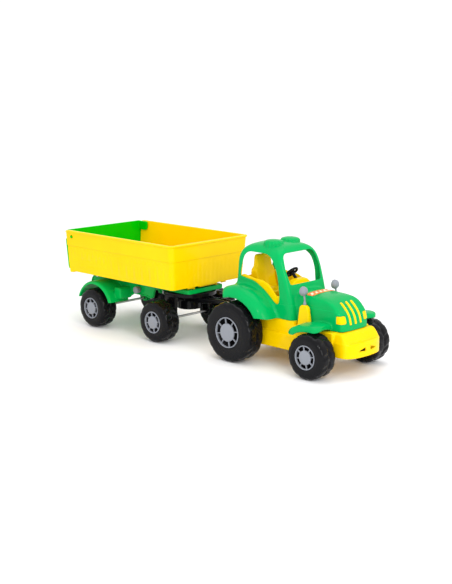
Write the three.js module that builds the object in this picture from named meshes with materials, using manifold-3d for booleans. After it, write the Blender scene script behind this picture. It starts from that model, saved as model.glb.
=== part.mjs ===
// Toy farm tractor with a tipping four-wheel trailer.
// Millimetres, +X forward (tractor nose), +Y left, +Z up.
// Origin: on the ground, in the middle of the rig's length and width.

import * as THREE from 'three';
import { mergeVertices } from 'three/addons/utils/BufferGeometryUtils.js';
import Module from 'manifold-3d';

const wasm = await Module();
wasm.setup();

// ---------------------------------------------------------------- driving dimensions

const FRONT_AXLE_X = 245;
const REAR_AXLE_X = FRONT_AXLE_X - 149.3;
const DOLLY_AXLE_X = FRONT_AXLE_X - 321.5;
const TRAILER_AXLE_X = FRONT_AXLE_X - 479;

const SMALL_WHEEL = { radius: 34, width: 33.7, rim: 18.5 };
const LARGE_WHEEL = { radius: 46.8, width: 36, rim: 24.3 };
const TRACTOR_FRONT_OUTER_Y = 83.3;
const TRACTOR_REAR_OUTER_Y = 89;
const TRAILER_OUTER_Y = 86.7;
const DOLLY_OUTER_Y = 86;

const AXLE_RADIUS = 2;
const AXLE_HOLE_RADIUS = 2.4;
const HUB_CAP = 3;
const GAP = 0.3;

const SKIN = 3;
const CHASSIS_SKIN = 2.5;
const CHASSIS_TOP = 66;
const SHELL_BOTTOM = CHASSIS_TOP + GAP;
const WAIST_Z = 72.2;
const REAR_ARCH_RADIUS = 53;

const HITCH = { x: -195, pinRadius: 3, plateBottom: 62, plateTop: 66, pinTop: 80 };
const DRAWBAR_REACH = FRONT_AXLE_X + HITCH.x - DOLLY_AXLE_X;
const STEERING = { x: -96, z: 136, ringRadius: 9.4, columnRadius: 2.4, length: 22 };
const MIRROR = { x: -38.5, y: 37.4, baseZ: 99, headX: -3.5, headZ: 20.2, headRadius: 7.2 };

const FRAME_HALF_WIDTH = 40.5;
const FRAME_TOP = 86.3;
const FRAME_REAR_X = -52;
const FRAME_FRONT_X = 198;
const KINGPIN = { x: DOLLY_AXLE_X - TRAILER_AXLE_X, radius: 5, headRadius: 7 };
const TURNTABLE = { radius: 46, bottom: 71, top: 78 };

const BED = { rear: -59.5, front: 206, halfWidth: 84, bottom: 92.6, top: 165.7, wall: 2.6 };
const BED_TOP_HALF_WIDTH = 90;
const BED_TOP_FRONT = 209;
const BED_BAND_Z = 139.5;
const BED_RIM = 2;
const TIP_PIVOT = { x: -36, z: 80 };
const GATE_HINGE = { x: -45, z: 155, pinRadius: 2.2 };
const GATE_THICKNESS = 3;
const KNOB = { x: 75, z: 71, radius: 6 };

// ---------------------------------------------------------------- colours and finishes

const GREEN = { color: 0x00c864, roughness: 0.25, metalness: 0 };
const TRAILER_GREEN = { color: 0x00aa4b, roughness: 0.3, metalness: 0 };
const GATE_GREEN = { color: 0x00be14, roughness: 0.3, metalness: 0 };
const YELLOW = { color: 0xffdc00, roughness: 0.3, metalness: 0 };
const BLACK = { color: 0x161616, roughness: 0.35, metalness: 0 };
const GREY = { color: 0x9699a2, roughness: 0.4, metalness: 0 };
const STEEL = { color: 0xb4b4b4, roughness: 0.35, metalness: 1 };
const ORANGE = { color: 0xe66e28, roughness: 0.4, metalness: 0 };

// ---------------------------------------------------------------- shape helpers

const vectors = (outline) => outline.map(([a, b]) => new THREE.Vector2(a, b));

function solidOf(geometry) {
  const bare = new THREE.BufferGeometry();
  bare.setAttribute('position', geometry.getAttribute('position').clone());
  bare.setIndex(geometry.getIndex());
  const merged = mergeVertices(bare, 1e-4);
  const index = merged.getIndex().array;
  const corners = [];
  for (let i = 0; i < index.length; i += 3) {
    const [a, b, c] = index.slice(i, i + 3);
    if (a !== b && b !== c && c !== a) corners.push(a, b, c);
  }
  const mesh = new wasm.Mesh({
    numProp: 3,
    vertProperties: new Float32Array(merged.getAttribute('position').array),
    triVerts: new Uint32Array(corners),
  });
  return new wasm.Manifold(mesh);
}

function geometryOf(solid) {
  const mesh = solid.getMesh();
  const geometry = new THREE.BufferGeometry();
  geometry.setAttribute('position', new THREE.BufferAttribute(mesh.vertProperties, 3));
  geometry.setIndex(new THREE.BufferAttribute(mesh.triVerts, 1));
  return geometry;
}

const join = (...pieces) => geometryOf(pieces.map(solidOf).reduce((a, b) => a.add(b)));
const cut = (piece, ...tools) => geometryOf([piece, ...tools].map(solidOf).reduce((a, b) => a.subtract(b)));
const common = (...pieces) => geometryOf(pieces.map(solidOf).reduce((a, b) => a.intersect(b)));

function box([x0, x1], [y0, y1], [z0, z1]) {
  const geometry = new THREE.BoxGeometry(x1 - x0, y1 - y0, z1 - z0);
  return geometry.translate((x0 + x1) / 2, (y0 + y1) / 2, (z0 + z1) / 2);
}

const wide = (halfWidth) => [-halfWidth, halfWidth];

function extrusion(outline, depth) {
  return new THREE.ExtrudeGeometry(new THREE.Shape(vectors(outline)), { depth, bevelEnabled: false });
}

// An (x, z) outline carried along Y.
function alongY(outline, [y0, y1]) {
  return extrusion(outline, y1 - y0).rotateX(Math.PI / 2).translate(0, y1, 0);
}

// A (y, z) outline carried along X.
function alongX(outline, [x0, x1]) {
  const axes = new THREE.Matrix4().makeBasis(
    new THREE.Vector3(0, 1, 0),
    new THREE.Vector3(0, 0, 1),
    new THREE.Vector3(1, 0, 0),
  );
  return extrusion(outline, x1 - x0).applyMatrix4(axes).translate(x0, 0, 0);
}

// An (x, y) outline carried along Z.
function alongZ(outline, [z0, z1]) {
  return extrusion(outline, z1 - z0).translate(0, 0, z0);
}

// A (radius, height) profile turned about Y, or about Z.
const turnedY = (profile, sides) => new THREE.LatheGeometry(vectors(profile), sides).rotateY(Math.PI / sides);
const turnedZ = (profile, sides) => turnedY(profile, sides).rotateX(Math.PI / 2);

const rodY = (radius, [y0, y1], sides = 10) => turnedY([[0, y0], [radius, y0], [radius, y1], [0, y1]], sides);
const rodZ = (radius, [z0, z1], sides = 16) => turnedZ([[0, z0], [radius, z0], [radius, z1], [0, z1]], sides);

// Rounds every corner whose third value says how far back the curve starts.
function rounded(outline, steps = 3) {
  const path = [];
  outline.forEach(([a, b, reach = 0], i) => {
    const corner = new THREE.Vector2(a, b);
    if (!reach) {
      path.push([a, b]);
      return;
    }
    const towards = ([p, q]) => new THREE.Vector2(p, q).sub(corner).setLength(reach).add(corner);
    const start = towards(outline.at(i - 1));
    const end = towards(outline[(i + 1) % outline.length]);
    const curve = new THREE.QuadraticBezierCurve(start, corner, end);
    curve.getPoints(steps).forEach((point) => path.push([point.x, point.y]));
  });
  return path;
}

// Moves every side of an outline inwards by one distance; a negative distance moves it out.
function inset(outline, distance) {
  const side = Math.sign(THREE.ShapeUtils.area(vectors(outline))) * distance;
  const normal = ([a, b], [c, d]) => new THREE.Vector2(b - d, c - a).normalize();
  return outline.map((corner, i) => {
    const before = normal(outline.at(i - 1), corner);
    const after = normal(corner, outline[(i + 1) % outline.length]);
    const shift = before.clone().add(after).multiplyScalar(side / (1 + before.dot(after)));
    return [corner[0] + shift.x, corner[1] + shift.y];
  });
}

// The right half of a (y, z) or (x, y) outline, completed by its mirror image.
const mirrored = (half) => [
  ...half,
  ...half.filter(([y]) => y !== 0).map(([y, z, ...reach]) => [-y, z, ...reach]).reverse(),
];

function part(name, geometry, finish) {
  const mesh = new THREE.Mesh(geometry, new THREE.MeshStandardMaterial(finish));
  mesh.name = name;
  return mesh;
}

function placed(x, y, z, ...children) {
  const group = new THREE.Group();
  group.position.set(x, y, z);
  group.add(...children);
  return group;
}

// ---------------------------------------------------------------- wheels and axles

const BOSS_RADIUS = 6;
const HUB_DEPTH = 9;

function tyreGeometry({ radius, width, rim }) {
  const sides = 24;
  const flat = radius / Math.cos(Math.PI / sides);
  const face = width / 2;
  const shoulder = 6;
  const profile = [
    [rim + GAP, face],
    [rim + GAP, face - HUB_DEPTH - GAP],
    [BOSS_RADIUS + GAP, face - HUB_DEPTH - GAP],
    [BOSS_RADIUS + GAP, -face],
    [flat - shoulder, -face],
    [flat, -face + shoulder],
    [flat, face - shoulder],
    [flat - shoulder, face],
    [rim + GAP, face],
  ];
  return turnedY(profile, sides);
}

function hubGeometry({ width, rim }) {
  const sides = 16;
  const face = width / 2;
  const discRadius = rim * 0.59;
  const ringInner = rim - 2;
  const pocket = face - 5;
  const blind = face - HUB_CAP;
  const disc = turnedY(
    [
      [0, blind],
      [AXLE_HOLE_RADIUS, blind],
      [AXLE_HOLE_RADIUS, -face],
      [BOSS_RADIUS, -face],
      [BOSS_RADIUS, face - HUB_DEPTH],
      [rim, face - HUB_DEPTH],
      [rim, face],
      [ringInner, face],
      [ringInner, pocket],
      [discRadius, pocket],
      [discRadius, face],
      [0, face],
    ],
    sides,
  );
  const spokes = [0, 1, 2, 3].map((i) => {
    const spoke = box(wide(ringInner + 0.5), [pocket - 1, face - 1], wide(0.7));
    return spoke.rotateY((i * Math.PI) / 4);
  });
  const middle = rodY(discRadius - 1, [blind - 2, face]);
  const bore = rodY(AXLE_HOLE_RADIUS, [-face, blind], sides);
  return cut(join(disc, ...spokes, middle), bore);
}

// side is 1 on the left and -1 on the right; a right wheel is the same wheel turned round.
function wheel(name, size, outerY, side) {
  const group = placed(
    0,
    side * (outerY - size.width / 2),
    size.radius,
    part(`${name}_tyre`, tyreGeometry(size), BLACK),
    part(`${name}_hub`, hubGeometry(size), GREY),
  );
  group.rotation.z = side > 0 ? 0 : Math.PI;
  return group;
}

function axleSet(prefix, size, outerY) {
  const reach = outerY - HUB_CAP - GAP;
  return [
    wheel(`${prefix}_left`, size, outerY, 1),
    wheel(`${prefix}_right`, size, outerY, -1),
    placed(0, 0, size.radius, part(`${prefix}_axle`, rodY(AXLE_RADIUS, wide(reach)), STEEL)),
  ];
}

const axleHole = (x, radius) => rodY(AXLE_HOLE_RADIUS, wide(60)).translate(x, 0, radius);

// ---------------------------------------------------------------- tractor, x from the front axle

const REAR_X = REAR_AXLE_X - FRONT_AXLE_X;

const CAB_SIDE = [
  [-57, SHELL_BOTTOM],
  [-57, 76],
  [-62.5, 110],
  [-66.8, 124],
  [-73.8, 146],
  [-83, 169],
  [-89, 177.5],
  [-100, 182],
  [-113, 183.5],
  [-131, 182.6],
  [-149, 180],
  [-160.5, 173.5],
  [-167, 160],
  [-171.8, 121.7],
  [-175.5, 110],
  [-173, SHELL_BOTTOM],
];
const CAB_FRONT = mirrored([
  [44, SHELL_BOTTOM],
  [44.6, 125],
  [46, 146],
  [44.8, 160],
  [39.5, 170],
  [31, 177],
  [18, 181.5],
  [0, 183.5],
]);
const HOOD_SIDE = [
  [-66, SHELL_BOTTOM],
  [30, SHELL_BOTTOM],
  [28.3, 76],
  [23.4, 88],
  [16.4, 97],
  [7.6, 105],
  [-3, 110.4],
  [-20, 113.5],
  [-66, 116.5],
];
const HOOD_FRONT = mirrored([
  [34, SHELL_BOTTOM],
  [34, 100],
  [30.3, 108],
  [24, 113],
  [0, 116.5],
]);
const HOOD_PLAN = [
  [-66, -34],
  [14, -34],
  [23.5, -32],
  [28.5, -25],
  [30.5, -14],
  [30.5, 14],
  [28.5, 25],
  [23.5, 32],
  [14, 34],
  [-66, 34],
];
const SIDE_WINDOW = rounded([
  [-153.5, 167, 7],
  [-163.5, 128, 4],
  [-134, 123.5],
  [-116, 113.5],
  [-97, 96.5],
  [-84, 92, 7],
  [-83, 108],
  [-86.5, 138],
  [-99, 167, 18],
]);
const SCREEN = rounded(mirrored([
  [35.5, 124, 4],
  [39, 145],
  [35.5, 169, 10],
]));
const GRILLE_BARS = [-12, 0, 12];
const HEADLIGHT_Y = [-27.3, 27.3];

function cabSolid(inward) {
  const side = alongY(inset(CAB_SIDE, inward), wide(50));
  const front = alongX(inset(CAB_FRONT, inward), [-190, -40]);
  return common(side, front);
}

function hoodSolid(inward) {
  const side = alongY(inset(HOOD_SIDE, inward), wide(50));
  const front = alongX(inset(HOOD_FRONT, inward), [-80, 40]);
  const plan = alongZ(inset(HOOD_PLAN, inward), [50, 130]);
  return common(side, front, plan);
}

// Openings in the nose for the grille bars and the headlights, narrowed by a clearance.
function noseSlots(clearance) {
  const bars = GRILLE_BARS.map((y) =>
    box([8 + clearance, 40], [y - 2.3 + clearance, y + 2.3 - clearance], [74 + clearance, 120]),
  );
  const lamps = HEADLIGHT_Y.map((y) =>
    box([16.5 + clearance, 40], [y - 6.5 + clearance, y + 6.5 - clearance], [78 + clearance, 89 - clearance]),
  );
  return [...bars, ...lamps];
}

function rearFender(side) {
  const outer = [
    [REAR_ARCH_RADIUS, 42],
    [REAR_ARCH_RADIUS, 78],
    [56, 78],
    [61.5, 76],
    [67.5, 70.5],
    [70, 63],
    [70, 42],
  ];
  const inner = [
    [REAR_ARCH_RADIUS - 1, 41],
    [REAR_ARCH_RADIUS - 1, 75],
    [59.5, 73],
    [64.5, 68.5],
    [67, 61.5],
    [67, 41],
  ];
  const ring = (profile) => {
    const sign = side > 0 ? profile : profile.map(([r, y]) => [r, -y]).reverse();
    return turnedY([...sign, sign[0]].reverse(), 40).translate(REAR_X, 0, LARGE_WHEEL.radius);
  };
  const span = (margin) => {
    const plan = [[-60, 0], [-60, 80], [-166, 80], [-176.5, 69.5], [-176.5, 0]];
    const inside = plan.map(([x, y]) => [x < -60 ? x + margin : x, side * (y > 60 ? y - margin / 2 : y)]);
    return alongZ(inside, [SHELL_BOTTOM + margin, 130]);
  };
  return cut(common(ring(outer), span(0)), common(ring(inner), span(SKIN)));
}

function frontFender(side) {
  const guard = [
    [-47.5, 55.5],
    [-43.5, 63],
    [-37, 70.5],
    [-28, 76],
    [-17, 79],
    [-6, 80.3],
    [3, 80],
    [10, 78.6],
    [14, 76],
    [14, 71.4],
    [0, 72],
    [-14, 70.6],
    [-25, 66.8],
    [-33, 61.5],
    [-39, 55.5],
  ];
  const hollow = [
    [-42, 50],
    [-39, 62],
    [-33.5, 68],
    [-26, 73],
    [-16, 76],
    [-6, 77.3],
    [3, 77],
    [12, 75.2],
    [12, 50],
  ];
  const edge = [[-50, 44.5], [-24.4, 44.5], [-24.4, 32.5], [9, 32.5], [10, 52], [14, 66, 5], [9, 76, 5]];
  const plan = rounded([...edge, [-36, 76, 6], [-50, 64, 4]]);
  const reach = [[-47, 34.2], [6, 34.2], [7, 52], [11, 65.5], [7.2, 73], [-34, 73], [-47, 62]];
  const across = (outline, zs) => alongZ(outline.map(([x, y]) => [x, side * y]), zs);
  const under = common(alongY(hollow, wide(80)), across(reach, [40, 82]));
  return cut(common(alongY(guard, wide(80)), across(plan, [50, 82])), under);
}

function bodyShell() {
  const outer = join(cabSolid(0), hoodSolid(0));
  const inner = join(
    cabSolid(SKIN),
    hoodSolid(SKIN),
    box([-169, -61], wide(40.8), [60, 80]),
    box([-68, 22], wide(30), [60, 80]),
  );
  const glazing = [
    alongY(SIDE_WINDOW, wide(60)),
    alongX(SCREEN, [-120, -55]),
    alongX(SCREEN, [-185, -130]),
  ];
  const sideOpening = box([-120, -56.5], wide(90), [60, WAIST_Z + GAP]);
  const shell = cut(outer, inner, ...glazing, ...noseSlots(0));
  const domes = [-19.2, 19.2].map((y) => {
    const dome = [[0, 172], [15.5, 172], [15.5, 181], [12, 184.8], [6, 186.6], [0, 187]];
    return turnedZ(dome, 16).translate(-116.5, y, 0);
  });
  const trimmed = cut(join(...domes), cabSolid(SKIN));
  const rearFenders = join(rearFender(1), rearFender(-1));
  const cabAndFenders = cut(join(shell, rearFenders), sideOpening);
  return join(cabAndFenders, trimmed, frontFender(1), frontFender(-1));
}

const BUMPER_PLAN = rounded([
  [14, -42],
  [42, -42, 10],
  [49.5, -26],
  [52, -8],
  [52, 8],
  [49.5, 26],
  [42, 42, 10],
  [14, 42],
]);

function mirrorPost(side) {
  const outline = rounded([
    [-51, CHASSIS_TOP - 4],
    [-25, CHASSIS_TOP - 4],
    [-31.5, MIRROR.baseZ, 5],
    [-45.5, MIRROR.baseZ, 5],
  ]);
  const [near, far] = [34.4, 40.4];
  const post = alongY(outline, side > 0 ? [near, far] : [-far, -near]);
  const socket = rodZ(1.8, [MIRROR.baseZ - 9, MIRROR.baseZ + 1], 10);
  return cut(post, socket.translate(MIRROR.x, side * MIRROR.y, 0));
}

const NOSE_SLOPE = [
  [15, 50],
  [15, CHASSIS_TOP],
  [31.5, CHASSIS_TOP],
  [41, 52],
  [41, 50],
];

// The raised edge under the cab's side, turned in front of the cab's corner.
function waistRail(side) {
  const across = (near, far) => (side > 0 ? [near, far] : [-far, -near]);
  return join(
    box([-118, -54], across(41.2, 44), [64, WAIST_Z]),
    box([-59.9, -54], across(34.5, 44), [64, WAIST_Z]),
  );
}

function tractorChassis() {
  const outer = join(
    box([-178, 20], wide(42), [30, CHASSIS_TOP]),
    box([-118, 19], wide(44), [46.5, CHASSIS_TOP]),
    box([-120, -38], wide(47), [27.5, 52.4]),
    alongZ(BUMPER_PLAN, [31, 52.5]),
    common(alongY(NOSE_SLOPE, wide(42)), alongZ(BUMPER_PLAN, [40, 80])),
    ...[-1, 1].map(waistRail),
  );
  const hollow = [
    box([-178 + CHASSIS_SKIN, 20], wide(42 - CHASSIS_SKIN), [20, CHASSIS_TOP - CHASSIS_SKIN]),
    box([-120 + CHASSIS_SKIN, -38 - CHASSIS_SKIN], wide(47 - CHASSIS_SKIN), [20, 49.9]),
    alongZ(inset(BUMPER_PLAN, CHASSIS_SKIN), [20, 50]),
    common(
      alongY([[10, 40], [10, 63.5], [29.5, 63.5], [37.5, 52], [37.5, 40]], wide(38.5)),
      alongZ(inset(BUMPER_PLAN, CHASSIS_SKIN), [20, 70]),
    ),
  ];
  const slot = [[5.6, 39.4], [18, 40.3], [18, 41.8], [5.6, 45.2]];
  const slots = [1, -1].map((side) => alongX(slot.map(([y, z]) => [side * y, z]), [44, 56]));
  const axleHoles = [axleHole(0, SMALL_WHEEL.radius), axleHole(REAR_X, LARGE_WHEEL.radius)];
  const shell = cut(outer, ...hollow, ...slots, ...axleHoles);
  const plate = join(
    box([HITCH.x, -175], wide(9), [HITCH.plateBottom, HITCH.plateTop]),
    rodZ(9, [HITCH.plateBottom, HITCH.plateTop]).translate(HITCH.x, 0, 0),
  );
  const pinHole = rodZ(HITCH.pinRadius + GAP + 0.1, [50, 90], 12).translate(HITCH.x, 0, 0);
  return join(shell, cut(plate, pinHole), mirrorPost(1), mirrorPost(-1));
}

const hitchPin = () =>
  turnedZ(
    [
      [0, HITCH.plateBottom],
      [HITCH.pinRadius, HITCH.plateBottom],
      [HITCH.pinRadius, HITCH.pinTop - 1.5],
      [HITCH.pinRadius - 1.2, HITCH.pinTop],
      [0, HITCH.pinTop],
    ],
    12,
  );

function noseInsert() {
  const proud = -0.6;
  const back = SKIN + 2.8;
  const backing = cut(hoodSolid(SKIN + GAP), hoodSolid(back));
  const showing = noseSlots(GAP).map((slot) => common(slot, cut(hoodSolid(proud), hoodSolid(back))));
  const region = box([6, 40], wide(31), [72, 112]);
  return join(common(backing, region), ...showing);
}

function hoodSticker() {
  const film = cut(hoodSolid(-0.65), hoodSolid(-GAP));
  return common(film, box([-45, -31], wide(27), [105, 130]));
}

const COLUMN_TILT = -Math.PI / 4;

function cabInterior() {
  const side = [
    [-180, SHELL_BOTTOM + 0.4],
    [-50, SHELL_BOTTOM + 0.4],
    [-50, 123],
    [-74, 123],
    [-79, 116],
    [-84, 108],
    [-90, 104],
    [-98, 111],
    [-107, 120.5],
    [-120, 125.6],
    [-134, 126.2],
    [-160, 131],
    [-167, 124],
    [-180, 124],
  ];
  const tub = common(cabSolid(SKIN + 0.4), alongY(side, wide(60)));
  const well = box([-165, -86], wide(38), [70, 140]);
  const underDash = box([-83, -64], wide(36), [60, 115]);
  const hump = common(
    alongY([[-100, 98], [-99, 117.5], [-92, 122.5], [-84, 129.5], [-76, 128], [-76, 98]], wide(26)),
    alongX(mirrored([[26, 96], [24.5, 119], [10, 130]]), [-102, -70]),
  );
  const bore = rodZ(STEERING.columnRadius + GAP + 0.1, [-STEERING.length - 1, 10], 10)
    .rotateY(COLUMN_TILT)
    .translate(STEERING.x, 0, STEERING.z);
  return cut(join(cut(tub, well), hump), underDash, bore);
}

function driverSeat() {
  const side = rounded([
    [-162.5, 70.4],
    [-119, 70.4],
    [-115, 98, 3],
    [-117, 105, 3],
    [-142, 104, 5],
    [-154, 158.5, 2],
    [-158.5, 158.5, 2],
    [-162.5, 104],
  ]);
  const front = rounded(mirrored([
    [20, 70],
    [21, 136, 2.5],
    [17, 139, 2.5],
    [16, 159, 5],
  ]));
  const hollow = box([-158, -120], wide(17.5), [60, 99]);
  return cut(common(alongY(side, wide(30)), alongX(front, [-170, -110])), hollow);
}

function steeringWheel() {
  const ring = new THREE.TorusGeometry(STEERING.ringRadius, 2, 6, 18);
  const column = rodZ(STEERING.columnRadius, [-STEERING.length, 0.8], 10);
  const boss = turnedZ([[0, -4], [3.6, -4], [4.6, -1.5], [4.2, 1.5], [0, 1.5]], 10);
  const spokes = [0, 1, 2].map((i) =>
    box([0, STEERING.ringRadius], wide(1.4), wide(1)).rotateZ((i * 2 * Math.PI) / 3),
  );
  return join(ring, column, boss, ...spokes);
}

function mirrorGeometry() {
  const profile = [[0, -8], [1.4, -8], [1.4, 0.3], [2.6, 0.5], [2.4, 3], [1.2, 6], [1.2, 16], [0, 16]];
  const stalk = turnedZ(profile, 10);
  const ball = new THREE.SphereGeometry(MIRROR.headRadius, 16, 10).translate(MIRROR.headX, 0, MIRROR.headZ);
  const glassX = MIRROR.headX - 2.5;
  const behindGlass = box([glassX - 20, glassX], wide(10), [MIRROR.headZ - 10, MIRROR.headZ + 10]);
  return join(stalk, cut(ball, behindGlass));
}

function tractor() {
  const wheelAndColumn = placed(STEERING.x, 0, STEERING.z, part('steering_wheel', steeringWheel(), BLACK));
  wheelAndColumn.rotation.y = COLUMN_TILT;
  return placed(
    FRONT_AXLE_X,
    0,
    0,
    part('tractor_chassis', tractorChassis(), YELLOW),
    part('tractor_body_shell', bodyShell(), GREEN),
    part('nose_insert', noseInsert(), YELLOW),
    part('hood_sticker', hoodSticker(), ORANGE),
    part('cab_interior', cabInterior(), YELLOW),
    part('driver_seat', driverSeat(), YELLOW),
    wheelAndColumn,
    placed(MIRROR.x, MIRROR.y, MIRROR.baseZ, part('mirror_left', mirrorGeometry(), GREY)),
    placed(MIRROR.x, -MIRROR.y, MIRROR.baseZ, part('mirror_right', mirrorGeometry(), GREY)),
    placed(HITCH.x, 0, 0, part('hitch_pin', hitchPin(), GREY)),
    placed(0, 0, 0, ...axleSet('front', SMALL_WHEEL, TRACTOR_FRONT_OUTER_Y)),
    placed(REAR_X, 0, 0, ...axleSet('rear', LARGE_WHEEL, TRACTOR_REAR_OUTER_Y)),
  );
}

// ---------------------------------------------------------------- dolly, x from its kingpin

function dollyFrame() {
  const { radius, bottom, top } = TURNTABLE;
  const bar = [
    [0, 60.5],
    [42, 60.5],
    [76, 65.6],
    [DRAWBAR_REACH, 66.6],
    [DRAWBAR_REACH, 71.8],
    [76, 71.4],
    [42, 69],
    [30, bottom + 1],
    [0, bottom + 1],
  ];
  const plan = [
    [0, -20],
    [40, -12],
    [90, -6],
    [DRAWBAR_REACH, -6],
    [DRAWBAR_REACH, 6],
    [90, 6],
    [40, 12],
    [0, 20],
  ];
  const legs = [-1, 1].map((side) => {
    const foot = [[-9, 33], [-5, 28], [5, 28], [9, 33], [13, bottom + 1], [-13, bottom + 1]];
    return alongY(foot, side > 0 ? [38, 46] : [-46, -38]);
  });
  const eye = rodZ(9, [66.6, 71.8]).translate(DRAWBAR_REACH, 0, 0);
  const body = join(
    rodZ(radius, [bottom, top], 32),
    rodZ(21, [46.5, bottom + 1], 20),
    common(alongY(bar, wide(30)), alongZ(plan, [50, 90])),
    eye,
    box([-8, 8], wide(46), [64, bottom + 1]),
    ...legs,
  );
  const pinHole = rodZ(KINGPIN.radius + 0.4, [40, 90]);
  const eyeHole = rodZ(HITCH.pinRadius + 0.6, [60, 90], 12).translate(DRAWBAR_REACH, 0, 0);
  return cut(body, pinHole, eyeHole, axleHole(0, SMALL_WHEEL.radius));
}

const kingpin = () =>
  turnedZ(
    [
      [0, 47],
      [KINGPIN.radius, 47],
      [KINGPIN.radius, FRAME_TOP + 0.4],
      [KINGPIN.headRadius, FRAME_TOP + 0.4],
      [KINGPIN.headRadius, FRAME_TOP + 2.6],
      [0, FRAME_TOP + 2.6],
    ],
    16,
  );

const dolly = () =>
  placed(
    DOLLY_AXLE_X,
    0,
    0,
    part('dolly_frame', dollyFrame(), BLACK),
    part('kingpin', kingpin(), STEEL),
    ...axleSet('dolly', SMALL_WHEEL, DOLLY_OUTER_Y),
  );

// ---------------------------------------------------------------- trailer, x from its rear axle

function trailerFender(side) {
  const inner = 41;
  const section = [
    [inner, 39],
    [inner, 80],
    [inner + 3, 80],
    [inner + 5.5, 77],
    [inner + 6, 39],
  ];
  const profile = side > 0 ? section : section.map(([r, y]) => [r, -y]).reverse();
  const ring = turnedY([...profile, profile[0]].reverse(), 36).translate(0, 0, SMALL_WHEEL.radius);
  return common(ring, box([-60, 60], wide(90), [48, 90]));
}

function trailerChassis() {
  const wall = rounded([
    [FRAME_REAR_X, 62],
    [-20, 56],
    [13, 50],
    [53, 56],
    [61, 62],
    [96, 62],
    [99, 60.5, 2],
    [111, 60.5, 5],
    [114, 72],
    [118, 79],
    [FRAME_FRONT_X, 79],
    [FRAME_FRONT_X, FRAME_TOP],
    [-40, FRAME_TOP],
    [FRAME_REAR_X, 74],
  ]);
  const inside = FRAME_HALF_WIDTH - SKIN;
  const middle = box([-60, FRAME_FRONT_X - SKIN], wide(inside), [40, 100]);
  const walls = cut(alongY(wall, wide(FRAME_HALF_WIDTH)), middle);
  const deck = box([-18, FRAME_FRONT_X - 1], wide(inside + 1), [FRAME_TOP - SKIN, FRAME_TOP]);
  const legs = [-1, 1].map((side) => {
    const foot = [[-8, 32], [-4, 28], [4, 28], [8, 32], [13, 60], [-13, 60]];
    return alongY(foot, side > 0 ? [38, 46] : [-46, -38]);
  });
  const steps = [-1, 1].map((side) => box([37, 54], side > 0 ? [39, 64] : [-64, -39], [54, 73]));
  const body = join(walls, deck, ...legs, ...steps, trailerFender(1), trailerFender(-1));
  const kingpinHole = rodZ(KINGPIN.radius + 0.4, [70, 95]).translate(KINGPIN.x, 0, 0);
  const pivotHole = axleHole(TIP_PIVOT.x, TIP_PIVOT.z);
  const knobHole = rodY(3.4, wide(60), 12).translate(KNOB.x, 0, KNOB.z);
  return cut(body, kingpinHole, pivotHole, knobHole, axleHole(0, SMALL_WHEEL.radius));
}

function sideKnob() {
  const { radius } = KNOB;
  const profile = [[0, -6], [3, -6], [3, GAP], [radius, GAP], [radius, 8], [radius - 1, 9], [0, 9]];
  return turnedY(profile, 12);
}

// Widens a bed outline that was drawn at the floor level into the flared walls above it.
function flared(geometry) {
  const position = geometry.getAttribute('position');
  const rise = BED.top - BED.bottom;
  const spreadX = (BED_TOP_FRONT - BED.rear) / (BED.front - BED.rear) - 1;
  const spreadY = BED_TOP_HALF_WIDTH / BED.halfWidth - 1;
  for (let i = 0; i < position.count; i++) {
    const share = (position.getZ(i) - BED.bottom) / rise;
    position.setX(i, BED.rear + (position.getX(i) - BED.rear) * (1 + spreadX * share));
    position.setY(i, position.getY(i) * (1 + spreadY * share));
  }
  return geometry;
}

function bedPlan(grow, rear = BED.rear) {
  const side = BED.halfWidth + grow;
  const front = BED.front + grow;
  return rounded([
    [rear, -side],
    [front, -side, 14 + grow],
    [front, side, 14 + grow],
    [rear, side],
  ]);
}

function cargoBed() {
  const { bottom, top, wall, rear } = BED;
  const outer = join(
    flared(alongZ(bedPlan(-1), [bottom, BED_BAND_Z])),
    flared(alongZ(bedPlan(0), [BED_BAND_Z - 1, top])),
    flared(alongZ(bedPlan(BED_RIM), [top - 3.5, top])),
  );
  const inner = flared(alongZ(bedPlan(-1 - wall, rear - 20), [bottom + wall, top + 5]));
  const cornerCut = [-1, 1].map((side) => {
    const arc = Array.from({ length: 5 }, (_, i) => {
      const angle = Math.PI / 2 + (i * Math.PI) / 8;
      return [rear + 8 + 8 * Math.cos(angle), top - 8 + 8 * Math.sin(angle)];
    });
    const waste = [...arc, [rear - 5, top - 8], [rear - 5, top + 5], [rear + 8, top + 5]];
    return alongY(waste, side > 0 ? [70, 100] : [-100, -70]);
  });
  const rails = [-26, 26].map((y) => box([-15, 196], [y - 1.5, y + 1.5], [FRAME_TOP + 0.4, bottom + 1]));
  const lugs = [-1, 1].map((side) => {
    const { x, z } = TIP_PIVOT;
    const lug = rounded([[x - 8, bottom + 1], [x - 6, z - 5, 4], [x + 6, z - 5, 4], [x + 8, bottom + 1]]);
    return alongY(lug, side > 0 ? [31, 36] : [-36, -31]);
  });
  const pinHoles = rodY(GATE_HINGE.pinRadius + 0.5, wide(100), 12).translate(GATE_HINGE.x, 0, GATE_HINGE.z);
  const body = join(cut(outer, inner, ...cornerCut, pinHoles), ...rails, ...lugs);
  return cut(body, axleHole(TIP_PIVOT.x, TIP_PIVOT.z));
}

function tailgate() {
  const back = BED.rear - 0.5;
  const outline = rounded(mirrored([
    [83, 94, 6],
    [88, 149.5],
    [85.5, 150.5],
    [85.5, 165.5, 3],
  ]));
  const plate = alongX(outline, [back - GATE_THICKNESS, back]);
  const { x, z, pinRadius } = GATE_HINGE;
  const ears = [-1, 1].map((side) => {
    const ear = rounded([[back - 1, z - 6], [x + 6, z - 6, 5], [x + 6, z + 6, 5], [back - 1, z + 6]]);
    const span = [80.8, 84.2];
    const pin = [83.5, 91];
    const range = ([near, far]) => (side > 0 ? [near, far] : [-far, -near]);
    return join(alongY(ear, range(span)), rodY(pinRadius, range(pin), 12).translate(x, 0, z));
  });
  return join(plate, ...ears);
}

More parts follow.
